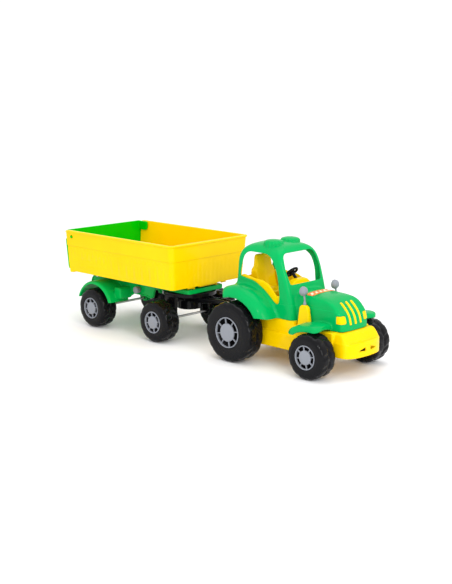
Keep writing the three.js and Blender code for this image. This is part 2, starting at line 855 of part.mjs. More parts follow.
function trailer() {
  const knobLeft = placed(KNOB.x, FRAME_HALF_WIDTH, KNOB.z, part('side_knob_left', sideKnob(), GREY));
  const knobRight = placed(KNOB.x, -FRAME_HALF_WIDTH, KNOB.z, part('side_knob_right', sideKnob(), GREY));
  knobRight.rotation.z = Math.PI;
  const pivot = rodY(AXLE_RADIUS, wide(FRAME_HALF_WIDTH + 1));
  return placed(
    TRAILER_AXLE_X,
    0,
    0,
    part('trailer_chassis', trailerChassis(), TRAILER_GREEN),
    ...axleSet('trailer', SMALL_WHEEL, TRAILER_OUTER_Y),
    placed(TIP_PIVOT.x, 0, TIP_PIVOT.z, part('bed_pivot_pin', pivot, STEEL)),
    knobLeft,
    knobRight,
    part('cargo_bed', cargoBed(), YELLOW),
    part('tailgate', tailgate(), GATE_GREEN),
  );
}

const group = new THREE.Group();
group.add(tractor(), dolly(), trailer());

export default group;
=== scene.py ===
"""Looks of the toy tractor and its tipping trailer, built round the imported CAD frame.

Sizes inside this script are in millimetres and become metres when a mesh is made.
Moulded plastic pieces are signed distance fields: negative inside, positive outside.
"""

import math

import bmesh
import bpy
import numpy as np
import openvdb
from mathutils import Matrix, Vector


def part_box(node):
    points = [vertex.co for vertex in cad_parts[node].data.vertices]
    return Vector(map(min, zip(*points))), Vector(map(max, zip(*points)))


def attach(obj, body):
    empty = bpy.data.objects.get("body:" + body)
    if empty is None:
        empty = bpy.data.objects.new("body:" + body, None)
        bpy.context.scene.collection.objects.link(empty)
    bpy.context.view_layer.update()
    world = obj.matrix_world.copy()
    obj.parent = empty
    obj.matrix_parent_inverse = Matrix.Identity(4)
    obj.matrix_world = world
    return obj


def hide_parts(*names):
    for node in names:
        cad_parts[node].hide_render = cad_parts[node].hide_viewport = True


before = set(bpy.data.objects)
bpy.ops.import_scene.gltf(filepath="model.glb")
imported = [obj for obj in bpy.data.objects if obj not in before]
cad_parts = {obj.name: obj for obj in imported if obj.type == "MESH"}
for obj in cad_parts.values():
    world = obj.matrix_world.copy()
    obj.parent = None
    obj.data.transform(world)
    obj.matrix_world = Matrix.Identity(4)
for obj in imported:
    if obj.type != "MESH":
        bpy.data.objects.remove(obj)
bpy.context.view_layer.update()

MM = 0.001
GRID = 0.8

# ------------------------------------------------------------------ places, from the frame


def middle(node):
    low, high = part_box(node)
    return (low + high) / 2 / MM


def span(node):
    low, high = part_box(node)
    return (high - low) / MM


FRONT_X = middle("front_axle").x
REAR_X = middle("rear_axle").x - FRONT_X
DOLLY_X = middle("dolly_axle").x
TRAILER_X = middle("trailer_axle").x
SMALL_RADIUS = span("front_left_tyre").z / 2
LARGE_RADIUS = span("rear_left_tyre").z / 2
HITCH = middle("hitch_pin")
KINGPIN_X = DOLLY_X - TRAILER_X
TIP_X = middle("bed_pivot_pin").x - TRAILER_X
TIP_Z = middle("bed_pivot_pin").z
KNOB = middle("side_knob_right")
MIRROR_X = FRONT_X - 38.5
STEERING = Vector((FRONT_X - 96, 0, 136))
COLUMN_TILT = math.radians(45)

SKIN = 3.0
SHELL_BOTTOM = 66.3
CHASSIS_TOP = 66.0
FRAME_TOP = 86.3
FRAME_HALF = 40.5
GATE_HINGE_X = -45.0
GATE_HINGE_Z = 155.0

# ------------------------------------------------------------------ distance fields


def union(a, b, fillet=0.0):
    rounding = np.hypot(np.maximum(fillet - a, 0), np.maximum(fillet - b, 0))
    return np.maximum(fillet, np.minimum(a, b)) - rounding


def both(a, b, edge=0.0):
    rounding = np.hypot(np.maximum(edge + a, 0), np.maximum(edge + b, 0))
    return np.minimum(-edge, np.maximum(a, b)) + rounding


def minus(a, b, edge=0.0):
    return both(a, -b, edge)


def hollow(a, wall):
    return np.abs(a + wall / 2) - wall / 2


def slab(c, low, high):
    return np.maximum(low - c, c - high)


def block(x, y, z, xs, ys, zs, edge=0.0):
    deepest, outside = -1e9, 0.0
    for c, (low, high) in zip((x, y, z), (xs, ys, zs)):
        q = slab(c, low, high) + edge
        deepest = np.maximum(deepest, q)
        outside = outside + np.maximum(q, 0) ** 2
    return np.sqrt(outside) + np.minimum(deepest, 0) - edge


def outline(u, v, points):
    """Distance, in a plane, to a closed outline."""
    nearest = np.float32(1e9)
    inside = False
    for (ax, ay), (bx, by) in zip(points, points[1:] + points[:1]):
        ex, ey = bx - ax, by - ay
        wx, wy = u - ax, v - ay
        along = np.clip((wx * ex + wy * ey) / max(ex * ex + ey * ey, 1e-9), 0, 1)
        nearest = np.minimum(nearest, (wx - ex * along) ** 2 + (wy - ey * along) ** 2)
        level = (ay <= v) != (by <= v)
        inside = inside ^ (level & ((ex * wy - ey * wx > 0) == (by > ay)))
    return np.where(inside, -1, 1) * np.sqrt(nearest)


def rounded(points, steps=6):
    """Rounds every corner whose third value says how far back its curve starts."""
    path = []
    for i, (a, b, *reach) in enumerate(points):
        corner = Vector((a, b))
        if not reach:
            path.append((a, b))
            continue
        before = Vector(points[i - 1][:2]) - corner
        after = Vector(points[(i + 1) % len(points)][:2]) - corner
        start = corner + before.normalized() * reach[0]
        end = corner + after.normalized() * reach[0]
        for k in range(steps + 1):
            t = k / steps
            path.append(tuple(start * (1 - t) ** 2 + corner * 2 * t * (1 - t) + end * t * t))
    return path


def smooth(points, rounds=2):
    """Cuts every corner of a closed outline again and again, until it is a smooth curve."""
    for _ in range(rounds):
        ring = zip(points, points[1:] + points[:1])
        pairs = [(Vector(p), Vector(q)) for p, q in ring]
        points = [tuple(p.lerp(q, t)) for p, q in pairs for t in (0.25, 0.75)]
    return points


def mirrored(half):
    back = [(-y, z, *reach) for y, z, *reach in half if y]
    return half + back[::-1]


# ------------------------------------------------------------------ meshes


def new_object(name, vertices, faces, normals=None, sharp_angle=None):
    mesh = bpy.data.meshes.new(name)
    mesh.from_pydata(np.asarray(vertices, float) * MM, [], faces)
    mesh.validate()
    mesh.shade_smooth()
    if normals is not None:
        mesh.normals_split_custom_set_from_vertices(normals)
    piece = bpy.data.objects.new(name, mesh)
    bpy.context.scene.collection.objects.link(piece)
    if sharp_angle is not None:
        mesh.set_sharp_from_angle(angle=math.radians(sharp_angle))
    return piece


def dress(piece, body, material, slot, *replaced):
    piece.data.materials.clear()
    piece.data.materials.append(material)
    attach(piece, body)
    if replaced:
        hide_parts(*replaced)
    return piece


def gradient(field, points, reach=0.06):
    here = field(*points.T)
    slopes = [field(*(points + reach * axis).T) - here for axis in np.eye(3)]
    slope = np.stack(slopes, axis=1) / reach
    return here, slope


def field_mesh(field, low, high, step=GRID, flatness=0.02):
    """Vertices, faces and normals of a field's surface, in millimetres."""
    axes = [np.arange(a - 3 * step, b + 4 * step, step) for a, b in zip(low, high)]
    start = np.array([axis[0] for axis in axes])
    grids = np.meshgrid(*[axis.astype(np.float32) for axis in axes], indexing="ij", sparse=True)
    reach = 3 * step
    shape = tuple(len(axis) for axis in axes)
    values = np.broadcast_to(np.clip(field(*grids), -reach, reach), shape)
    volume = openvdb.FloatGrid(reach)
    volume.copyFromArray(np.array(values, dtype=np.float32))
    points, triangles, quads = volume.convertToPolygons(isovalue=0.0, adaptivity=flatness)
    points = points.astype(float) * step + start
    for _ in range(3):
        here, slope = gradient(field, points)
        move = here[:, None] * slope / np.maximum((slope**2).sum(1), 0.2)[:, None]
        points -= np.clip(move, -0.5 * step, 0.5 * step)
    slope = gradient(field, points)[1]
    normals = slope / np.maximum(np.linalg.norm(slope, axis=1), 1e-6)[:, None]
    faces = [tuple(map(int, face)) for face in list(triangles) + list(quads)]
    sample = faces[len(faces) // 2]
    corners = points[list(sample[:3])]
    facing = np.cross(corners[1] - corners[0], corners[2] - corners[0])
    if facing @ normals[sample[0]] < 0:
        faces = [face[::-1] for face in faces]
    return points, faces, normals


def moulded(name, field, low, high, step=GRID, flatness=0.02):
    return new_object(name, *field_mesh(field, low, high, step, flatness))


def lathe_mesh(profile, sides=48, bump=None):
    """A (radius, y) profile turned about Y. The profile starts and ends on the axis or closes."""
    closed = profile[0][0] > 0
    vertices, rings = [], []
    for radius, y in profile:
        if radius == 0:
            rings.append([len(vertices)] * sides)
            vertices.append((0, y, 0))
            continue
        rings.append(list(range(len(vertices), len(vertices) + sides)))
        for k in range(sides):
            angle = 2 * math.pi * k / sides
            r = radius + (bump(angle, radius, y) if bump else 0)
            vertices.append((r * math.sin(angle), y, r * math.cos(angle)))
    faces = []
    pairs = list(zip(rings, rings[1:])) + ([(rings[-1], rings[0])] if closed else [])
    for near, far in pairs:
        for k in range(sides):
            n = (k + 1) % sides
            face = list(dict.fromkeys((near[k], near[n], far[n], far[k])))
            if len(face) > 2:
                faces.append(face)
    return vertices, faces


def outward(piece):
    work = bmesh.new()
    work.from_mesh(piece.data)
    bmesh.ops.recalc_face_normals(work, faces=work.faces)
    work.to_mesh(piece.data)
    work.free()
    return piece


def turned(name, profile, centre, axis="Y", sides=48, sharp_angle=40):
    piece = outward(new_object(name, *lathe_mesh(profile, sides)))
    piece.data.set_sharp_from_angle(angle=math.radians(sharp_angle))
    if axis == "Z":
        piece.data.transform(Matrix.Rotation(math.pi / 2, 4, "X"))
    piece.data.transform(Matrix.Translation(Vector(centre) * MM))
    return piece


def rod(radius, low, high, edge=0.4):
    return [
        (0, low), (radius - edge, low), (radius, low + edge),
        (radius, high - edge), (radius - edge, high), (0, high),
    ]


# ------------------------------------------------------------------ materials


def shader(name):
    material = bpy.data.materials.new(name)
    material.use_nodes = True
    tree = material.node_tree
    surface = tree.nodes["Principled BSDF"]
    place = tree.nodes.new("ShaderNodeTexCoord").outputs["Object"]
    return material, tree, surface, place


def noise(tree, place, scale, detail=3.0):
    node = tree.nodes.new("ShaderNodeTexNoise")
    node.inputs["Scale"].default_value = scale
    node.inputs["Detail"].default_value = detail
    tree.links.new(place, node.inputs["Vector"])
    return node.outputs["Fac"]


def remap(tree, value, low, high, from_low=0.3, from_high=0.7):
    node = tree.nodes.new("ShaderNodeMapRange")
    node.inputs["From Min"].default_value = from_low
    node.inputs["From Max"].default_value = from_high
    node.inputs["To Min"].default_value = low
    node.inputs["To Max"].default_value = high
    tree.links.new(value, node.inputs["Value"])
    return node.outputs["Result"]


def mix(tree, share, a, b):
    """Colour a where share is 0 and b where it is 1; a and b are colours or outputs."""
    node = tree.nodes.new("ShaderNodeMix")
    node.data_type = "RGBA"
    tree.links.new(share, node.inputs["Factor"])
    for socket, colour in (("A", a), ("B", b)):
        place = [s for s in node.inputs if s.name == socket and s.type == "RGBA"][0]
        if isinstance(colour, bpy.types.NodeSocket):
            tree.links.new(colour, place)
        else:
            place.default_value = (*colour, 1)
    return [s for s in node.outputs if s.type == "RGBA"][0]


def bumps(tree, surface, *layers):
    """Each layer is (height output, distance in metres, strength)."""
    normal = None
    for height, distance, strength in layers:
        node = tree.nodes.new("ShaderNodeBump")
        node.inputs["Distance"].default_value = distance
        node.inputs["Strength"].default_value = strength
        tree.links.new(height, node.inputs["Height"])
        if normal:
            tree.links.new(normal, node.inputs["Normal"])
        normal = node.outputs["Normal"]
    tree.links.new(normal, surface.inputs["Normal"])


def plastic(name, colour, roughness=0.22, shine=0.14, coat=0.10, grain=0.10, shift=0.05):
    """Injection-moulded plastic: slow colour drift, flow marks, fine skin, and paler edges that are part
    wear and part painted highlight.
    """
    material, tree, surface, place = shader(name)
    drift = remap(tree, noise(tree, place, 22, 2), 0, 1)
    darker = tuple(c * (1 - shift) for c in colour)
    lighter = tuple(min(1, c * (1 + shift)) for c in colour)
    body = mix(tree, drift, darker, lighter)
    # Sharp edges are painted paler, partly as wear and partly as a painted highlight.
    edge = tree.nodes.new("ShaderNodeNewGeometry").outputs["Pointiness"]
    edge_wear_and_highlight = remap(tree, edge, 0, 0.3, 0.53, 0.62)
    worn_and_highlit_colour = tuple(min(1, c * 1.12 + 0.02) for c in colour)
    tree.links.new(mix(tree, edge_wear_and_highlight, body, worn_and_highlit_colour), surface.inputs["Base Color"])
    rough = remap(tree, noise(tree, place, 60, 4), roughness * 0.8, roughness * 1.25)
    tree.links.new(rough, surface.inputs["Roughness"])
    surface.inputs["Specular IOR Level"].default_value = shine
    surface.inputs["Coat Weight"].default_value = coat
    surface.inputs["Coat Roughness"].default_value = 0.04
    skin = noise(tree, place, 1400, 2)
    flow = noise(tree, place, 45, 2)
    bumps(tree, surface, (flow, 0.0006, 0.3), (skin, 0.00004, grain))
    return material


def brushed_steel(name):
    material, tree, surface, place = shader(name)
    stretch = tree.nodes.new("ShaderNodeMapping")
    stretch.inputs["Scale"].default_value = (1, 0.02, 1)
    tree.links.new(place, stretch.inputs["Vector"])
    streaks = noise(tree, stretch.outputs["Vector"], 2500, 3)
    tree.links.new(mix(tree, streaks, (0.42, 0.42, 0.43), (0.62, 0.62, 0.62)), surface.inputs["Base Color"])
    tree.links.new(remap(tree, streaks, 0.22, 0.42), surface.inputs["Roughness"])
    surface.inputs["Metallic"].default_value = 1.0
    bumps(tree, surface, (streaks, 0.00004, 0.3))
    return material


def printed_film(name):
    """Orange and red flecked sticker with a band of slanted pale dashes, and no lettering."""
    material, tree, surface, place = shader(name)
    tilt = tree.nodes.new("ShaderNodeMapping")
    tilt.inputs["Rotation"].default_value = (0, 0, math.radians(28))
    tree.links.new(place, tilt.inputs["Vector"])
    bands = tree.nodes.new("ShaderNodeTexWave")
    bands.bands_direction = "Y"
    bands.inputs["Scale"].default_value = 36
    bands.inputs["Distortion"].default_value = 1.5
    bands.inputs["Detail"].default_value = 1.0
    tree.links.new(tilt.outputs["Vector"], bands.inputs["Vector"])
    across = tree.nodes.new("ShaderNodeSeparateXYZ")
    tree.links.new(place, across.inputs["Vector"])
    centre = 0.001 * (FRONT_X - 38)
    core = tree.nodes.new("ShaderNodeMath")
    core.operation = "COMPARE"
    core.inputs[1].default_value = centre
    core.inputs[2].default_value = 0.0036
    tree.links.new(across.outputs["X"], core.inputs[0])
    flecks = remap(tree, noise(tree, tilt.outputs["Vector"], 240, 1), 0, 1, 0.42, 0.58)
    warm = mix(tree, flecks, (0.80, 0.07, 0.02), (0.98, 0.52, 0.05))
    dashes = remap(tree, bands.outputs["Fac"], 0, 1, 0.45, 0.55)
    pale = mix(tree, dashes, (0.95, 0.78, 0.55), (0.9, 0.2, 0.04))
    tree.links.new(mix(tree, core.outputs["Value"], warm, pale), surface.inputs["Base Color"])
    tree.links.new(remap(tree, noise(tree, place, 300, 2), 0.25, 0.4), surface.inputs["Roughness"])
    bumps(tree, surface, (noise(tree, place, 600, 2), 0.00003, 0.2))
    return material


GREEN = plastic("green_plastic", (0.0, 0.385, 0.092), shine=0.04, coat=0.12)
TRAILER_GREEN = plastic("trailer_green_plastic", (0.0, 0.40, 0.07), shine=0.05, coat=0.14)
GATE_GREEN = plastic("gate_green_plastic", (0.0, 0.50, 0.001), shine=0.05, coat=0.08)
YELLOW = plastic("yellow_plastic", (0.95, 0.61, 0.0), shine=0.05, coat=0.08, shift=0.03)
BLACK = plastic("black_plastic", (0.005, 0.005, 0.006), roughness=0.16, shine=0.06, coat=0.16, grain=0.2)
GREY = plastic("grey_plastic", (0.25, 0.265, 0.30), roughness=0.36, shine=0.2, coat=0.05, grain=0.2)
STEEL = brushed_steel("drawn_steel")
STICKER = printed_film("printed_sticker")

# ------------------------------------------------------------------ wheels

TREAD_GROOVE = 1.6
SHOULDER_GROOVE = 0.8
HUB_RECESS = 9.3
BOSS = 6.3


def tyre_mesh(radius, width, rim, lugs):
    """A hollow plastic tyre with two staggered rows of slanted lugs that wrap its shoulders."""
    face = width / 2
    carcass = radius - 0.4
    wall = [(rim + 0.3, face - 0.9), (rim + 1.2, face - 0.2), (rim + 2.2, face - 0.4)]
    for k in range(1, 7):
        t = k / 6
        wall.append((rim + 2.2 + (carcass - 6.5 - rim - 2.2) * t, face - 0.4 + 0.3 * math.sin(math.pi * t)))
    for k in range(1, 6):
        angle = math.radians(18 * k)
        wall.append((carcass - 6.5 + 6.5 * math.sin(angle), face - 0.4 - 6.0 * (1 - math.cos(angle))))
    tread = [(carcass + 0.3 * (1 - (y / face) ** 2), y) for y in np.linspace(face - 6.4, 0.0, 8)[1:]]
    outer = wall + tread
    inner = [(r, -y) for r, y in outer[::-1]][1:]
    back = [p for p in inner if p[0] > rim + 8]
    profile = [(BOSS, face - HUB_RECESS), (rim + 0.3, face - HUB_RECESS), *outer, *back]
    profile += [(BOSS + 4, -face + 0.6), (BOSS, -face + 0.2)]

    def groove(angle, r, y):
        start = rim + 0.6 * (carcass - rim)
        reach = min(1.0, max(0.0, (r - start) / (carcass - start - 1.0)))
        if reach == 0.0:
            return 0.0
        row = 0.0 if y > 0 else 0.5
        lean = 0.2 * abs(y) / face
        wave = math.cos(lugs * (angle + lean) + 2 * math.pi * row)
        crest = min(1.0, max(0.0, (wave + 0.75) / 0.55))
        crest = crest * crest * (3 - 2 * crest)
        middle_line = min(1.0, max(0.0, (abs(y) - 0.5) / 1.6))
        depth = SHOULDER_GROOVE + (TREAD_GROOVE - SHOULDER_GROOVE) * max(0.0, 1 - abs(y) / (face - 4))
        return -depth * reach * (1 - crest * middle_line)

    return lathe_mesh(profile, lugs * 12, groove)


def hub_field(width, rim):
    face = width / 2
    disc_radius = 0.59 * rim

    def field(x, y, z):
        r = np.hypot(x, z)
        ring = both(np.abs(r - (rim - 0.75)) - 0.75, slab(y, face - 3.6, face), 0.4)
        crown = face - 0.3 + 0.5 * (1 - (r / disc_radius) ** 2)
        disc = both(r - disc_radius, slab(y, face - 3.4, crown), 0.8)
        whole = union(ring, disc)
        for k in range(4):
            turn = math.radians(45 * k + 11)
            across = np.abs(x * math.cos(turn) - z * math.sin(turn)) - 0.7
            spoke = both(both(across, r - (rim - 0.5)), slab(y, face - 3.4, face - 0.9), 0.3)
            whole = union(whole, spoke, 0.5)
        boss = both(r - 6.0, slab(y, -face, face - 2.5), 0.5)
        bore = both(r - 2.4, y - (face - 3.0), 0.2)
        return minus(union(whole, boss, 0.5), bore, 0.3)

    return field


def make_wheels():
    for radius, names, lugs in (
        (SMALL_RADIUS, ("front", "dolly", "trailer"), 12),
        (LARGE_RADIUS, ("rear",), 14),
    ):
        sample = names[0] + "_left"
        width = span(sample + "_tyre").y
        rim = span(sample + "_hub").z / 2
        tyre = outward(new_object("tyre", *tyre_mesh(radius, width, rim, lugs)))
        low = (-rim, -width / 2, -rim)
        high = (rim, width / 2, rim)
        hub_step = 0.55
        hub = moulded("hub", hub_field(width, rim), low, high, step=hub_step, flatness=0.06)
        sources = ((tyre, "tyre", BLACK, "black"), (hub, "hub", GREY, "grey"))
        for name in names:
            for side, turn in (("left", 0), ("right", math.pi)):
                node = f"{name}_{side}"
                place = Matrix.Translation(middle(node + "_tyre") * MM) @ Matrix.Rotation(turn, 4, "Z")
                for source, kind, material, slot in sources:
                    piece = bpy.data.objects.new(f"{node}_{kind}_looks", source.data.copy())
                    bpy.context.scene.collection.objects.link(piece)
                    piece.matrix_world = place
                    dress(piece, f"wheel_{name}_{side}", material, slot, f"{node}_{kind}")
        for source in (tyre, hub):
            bpy.data.objects.remove(source)


# ------------------------------------------------------------------ tractor, x from the front axle

CAB_SIDE = smooth([
    (-57, 40), (-57, 66), (-57, 77), (-59, 94), (-62.5, 110), (-66.8, 125), (-73.8, 146),
    (-83, 169), (-89, 178), (-100, 182.6), (-113, 183.8), (-131, 183.4), (-149, 181.2),
    (-161.5, 175), (-167.3, 160), (-169, 140), (-171.8, 121.7), (-175.5, 108), (-174, 90),
    (-173, 66), (-173, 40),
])
CAB_FRONT = smooth(mirrored([
    (44, 40), (44, 66), (44.6, 120), (46.1, 146), (45.2, 161), (40, 171.2), (31, 178),
    (18, 182.2), (0, 184),
]))
HOOD_SIDE = smooth([
    (-66, 40), (30, 40), (30, 66), (28.7, 76), (24, 88.5), (17, 98), (7.8, 106),
    (-3, 110.9), (-20, 113.8), (-66, 116.8), (-110, 116.8), (-110, 40),
])
HOOD_FRONT = smooth(mirrored([
    (34, 40), (34, 66), (34, 100), (31.4, 108.6), (24.5, 113.4), (12, 115.6), (0, 116.6),
]))
HOOD_PLAN = rounded([
    (-110, -34), (15, -34, 5), (25.5, -31, 4), (30.5, -17, 10), (30.5, 17, 10), (25.5, 31, 4),
    (15, 34, 5), (-110, 34),
])
SIDE_WINDOW = rounded([
    (-153.5, 167.3, 11), (-163.5, 128, 4), (-134, 123.5, 8), (-116, 113.5, 6), (-97, 96.5, 4),
    (-84, 91, 9), (-83, 108, 4), (-86.5, 138, 8), (-98, 167.3, 20),
])
SCREEN = rounded(mirrored([(35.5, 124, 4), (39.5, 145, 6), (36, 169.4, 10)]))
REAR_FENDER = rounded([
    (53, 41), (53, 78), (55.5, 78.4, 1.5), (61.5, 76.3, 3), (67.6, 70.8, 4), (70.2, 63, 4), (70.2, 41),
])
REAR_FENDER_PLAN = rounded([(-60, -5), (-60, 84), (-161, 84), (-176.4, 70, 7), (-176.4, -5)])
FENDER_GUARD = smooth([
    (-47.8, 53), (-45.5, 60), (-42, 66), (-37, 71.2), (-28, 76.6), (-17, 79.6), (-6, 80.7),
    (3, 80.5), (10.5, 79), (14.6, 76), (14.4, 71), (0, 71.9), (-14, 70.4), (-25, 66.6),
    (-33, 61.2), (-38, 56), (-40.5, 53),
])
FENDER_HOLLOW = smooth([
    (-44, 40), (-39.6, 60), (-33.5, 68), (-26, 73), (-16, 76.2), (-6, 77.4), (3, 77.2),
    (12, 75.6), (12.3, 60), (12.3, 40),
])
FENDER_PLAN = rounded([
    (-50, 44.5), (-24.4, 44.5), (-24.4, 31), (9.2, 31), (10.2, 52, 8), (14.4, 66, 5.5),
    (9, 76, 5.5), (-36, 76, 9), (-50, 63, 5),
])
GRILLE_BARS = (-12, 0, 12)
HEADLIGHTS = (-27.3, 27.3)
SILL_Z = 95.0


def cab(x, y, z):
    return both(outline(x, z, CAB_SIDE), outline(y, z, CAB_FRONT), 7)


def hood(x, y, z):
    return both(both(outline(x, z, HOOD_SIDE), outline(y, z, HOOD_FRONT), 5), outline(x, y, HOOD_PLAN), 5)


def nose_slots(x, y, z, clearance=0.0):
    found = 1e9
    for at in GRILLE_BARS:
        bar = both(both(np.abs(y - at) - 2.3, 8 - x, 1.2), 74.5 - z, 1.2)
        found = np.minimum(found, bar + clearance)
    for at in HEADLIGHTS:
        lamp = both(both(np.abs(y - at) - 6.6, slab(z, 77.5, 89.5), 2.5), 16.5 - x)
        found = np.minimum(found, lamp + clearance)
    return found


def roof_light(x, y, z):
    dx, dy = x + 116.5, np.abs(y) - 19.2
    flutes = 0.6 * np.cos(14 * np.arctan2(dy, dx)) * np.clip((186.5 - z) / 3, 0, 1)
    crown = z - 187 + 0.012 * (dx**2 + dy**2)
    return both(both(np.hypot(dx, dy) - 15.3 - flutes, crown, 4.0), 168 - z)


def shell_edge(x):
    """Height of the green shell's lower edge: it steps up along the cab and waves there."""
    step = np.clip((x + 124) / 6, 0, 1) * np.clip(-56.4 - x, 0, 1)
    return SHELL_BOTTOM + 6.2 * step + 2.4 * np.exp(-(((x + 97) / 11) ** 2))


def front_fender(x, across, z):
    droop = 2.0 * np.clip((across - 34) / 40, 0, 1) ** 2
    beside_hood = np.clip((x + 30) / 8, 0, 1) * np.clip((56 - across) / 22, 0, 1) ** 2
    droop = droop + 3.6 * beside_hood
    plan = outline(x, across, FENDER_PLAN)
    guard = both(outline(x, z + droop, FENDER_GUARD), plan, 1.6)
    under = both(outline(x, z + droop, FENDER_HOLLOW), plan + 3, 1.0)
    return minus(guard, under, 0.6)


def rear_fender(x, across, z):
    arch = outline(np.hypot(x - REAR_X, z - LARGE_RADIUS), across, REAR_FENDER)
    plan = outline(x, across, REAR_FENDER_PLAN)
    solid = both(arch, np.maximum(plan, SHELL_BOTTOM - z), 2.0)
    return minus(solid, both(arch + SKIN, plan + SKIN), 0.8)


def body_shell(x, y, z):
    x = x - FRONT_X
    across = np.abs(y)
    cab_here = cab(x, y, z)
    outer = union(cab_here, hood(x, y, z), 5)
    outer = union(outer, both(outer - 0.6, z - SILL_Z, 0.5), 0.4)
    shell = both(hollow(outer, SKIN), SHELL_BOTTOM - z, 0.9)
    shell = minus(shell, outline(x, z, SIDE_WINDOW), 1.4)
    glass = outline(y, z, SCREEN)
    shell = minus(shell, both(glass, slab(x, -120, -55)), 1.4)
    shell = minus(shell, both(glass, slab(x, -185, -130)), 1.4)
    shell = minus(shell, nose_slots(x, y, z), 0.4)
    lights = both(roof_light(x, y, z), -(cab_here + SKIN), 0.3)
    shell = union(shell, lights, 1.3)
    shell = union(shell, rear_fender(x, across, z), 5)
    shell = both(shell, (shell_edge(x) - z) * 0.85, 0.9)
    return union(shell, front_fender(x, across, z), 3.5)


def nose_insert(x, y, z):
    x = x - FRONT_X
    skin = hood(x, y, z)
    bars = both(nose_slots(x, y, z, 0.25), np.abs(skin + 1.7) - 2.5, 0.7)
    backing = both(np.abs(skin + 4.6) - 0.9, block(x, y, z, (6, 40), (-33, 33), (71, 112)), 0.4)
    return union(bars, backing, 0.2)


MIRROR_POST = rounded([(-51.5, 60), (-24.5, 60), (-31, 99, 7), (-46, 99, 7)])
BUMPER_PLAN = rounded([
    (12, -42), (42.5, -42, 10), (49.8, -26, 7), (52, -8, 6), (52, 8, 6), (49.8, 26, 7), (42.5, 42, 10),
    (12, 42),
])
BUMPER_TOP = rounded([(12, 40), (12, 66), (32, 66, 3), (38, 59, 4), (42.5, 52.5, 3), (43, 40)])
BUMPER_SLOT = [(5.6, 39.4), (18, 40.3), (18, 41.8), (5.6, 45.2)]


def chassis_outer(x, y, z):
    """Outside of the yellow chassis moulding."""
    across = np.abs(y)
    main = block(x, y, z, (-178, 20), (-42, 42), (20, CHASSIS_TOP), 1.5)
    upper = block(x, y, z, (-118, 19), (-44, 44), (46, CHASSIS_TOP), 1.5)
    skirt = block(x, y, z, (-120, -38), (-47, 47), (12, 52.4), 3)
    plan = outline(x, across, BUMPER_PLAN)
    nose = both(plan, slab(z, 20, 52.5), 1.5)
    slope = both(outline(x, z, BUMPER_TOP), plan + 0.25 * np.clip(z - 52, 0, 20), 2.5)
    return union(union(union(main, upper, 0.6), skirt, 0.8), union(nose, slope, 1.0), 1.5)


def waist_rail(x, across, z):
    top = np.minimum(shell_edge(x) - 0.3, 75)
    side = both(slab(x, -118, -54), slab(across, 41.2, 44), 0.6)
    front = both(slab(x, -59.9, -54), slab(across, 34.5, 44), 0.6)
    return both(np.minimum(side, front), np.maximum(z - np.where(x > -57.5, 72.2, top), 60 - z), 0.5)


def tractor_chassis(x, y, z):
    x = x - FRONT_X
    across = np.abs(y)
    outer = chassis_outer(x, y, z)
    edge = np.where(x < -36, np.where(x > -121, 27.5, 30), np.where(x > 17, 31, 30))
    shell = both(hollow(outer, 2.5), edge - z, 0.6)
    slots = both(outline(across, z, BUMPER_SLOT), 44 - x)
    shell = minus(shell, slots, 0.3)
    post = both(outline(x, z, MIRROR_POST), slab(across, 34.4, 40.6), 1.6)
    shell = union(shell, both(post, 61 - z), 1.0)
    shell = union(shell, waist_rail(x, across, z), 0.5)
    reach = HITCH.x - FRONT_X
    plate = union(both(slab(x, reach, -174), across - 9), np.hypot(x - reach, y) - 9)
    shell = union(shell, both(plate, slab(z, 62, 66), 0.8), 1.0)
    hole = np.hypot(x - reach, y) - 3.5
    axles = np.minimum(np.hypot(x, z - SMALL_RADIUS), np.hypot(x - REAR_X, z - LARGE_RADIUS)) - 2.5
    return minus(shell, np.minimum(hole, axles), 0.3)


INTERIOR_SIDE = rounded([
    (-180, 60), (-50, 60), (-50, 123), (-74, 123, 3), (-79, 116, 3), (-84, 108, 4), (-90, 104, 3),
    (-98, 111, 4), (-107, 120.5, 5), (-120, 125.6, 5), (-134, 126.2, 6), (-160, 131, 4), (-167, 124, 4),
    (-180, 124),
])
DASH_HUMP = rounded([(-100, 96), (-99, 117.5, 3), (-92, 122.7, 3), (-84, 129.7, 3), (-76, 128), (-75, 96)])
DASH_FRONT = rounded(mirrored([(26, 90), (24.5, 119, 5), (10, 130.4, 4)]))


def cab_interior(x, y, z):
    x = x - FRONT_X
    tub = both(cab(x, y, z) + 3.4, outline(x, z, INTERIOR_SIDE), 1.0)
    tub = both(tub, 66.8 - z, 0.5)
    well = block(x, y, z, (-165, -86), (-38, 38), (70, 160), 2)
    under = block(x, y, z, (-83, -64), (-36, 36), (50, 115), 1)
    tub = minus(minus(tub, well, 1.0), under, 0.5)
    hump = both(outline(x, z, DASH_HUMP), outline(y, z, DASH_FRONT), 2)
    tub = union(tub, both(hump, cab(x, y, z) + 3.4), 1.5)
    across, along = column_axes(x, z)
    return minus(tub, both(np.hypot(across, y) - 2.8, along - 2), 0.3)


def column_axes(x, z):
    """Across and along the steering column, from the middle of the steering wheel."""
    x, z = x + FRONT_X - STEERING.x, z - STEERING.z
    lean, rise = math.sin(COLUMN_TILT), math.cos(COLUMN_TILT)
    return x * rise + z * lean, z * rise - x * lean


SEAT_SIDE = rounded([
    (-162.5, 70.4), (-119, 70.4, 3), (-114.5, 98, 4), (-117, 105.5, 4), (-142, 104, 7),
    (-154, 158.8, 2.2), (-158.6, 158.8, 2.2), (-162.5, 104),
])
SEAT_FRONT = rounded(mirrored([(20.5, 66), (21.3, 136, 4), (17, 139, 2), (16.2, 159, 6)]))


def driver_seat(x, y, z):
    x = x - FRONT_X
    crease = 0.07 * np.abs(y)
    shape = both(outline(x + crease, z, SEAT_SIDE), outline(y, z, SEAT_FRONT), 2.0)
    shape = both(shape, 70.4 - z, 0.5)
    groove = np.hypot(np.abs(y) - 14.5, z - 104.5) - 1.2
    shape = minus(shape, both(groove, -118 - x), 0.6)
    return minus(shape, block(x, y, z, (-158, -120), (-17.5, 17.5), (60, 99), 1), 0.4)


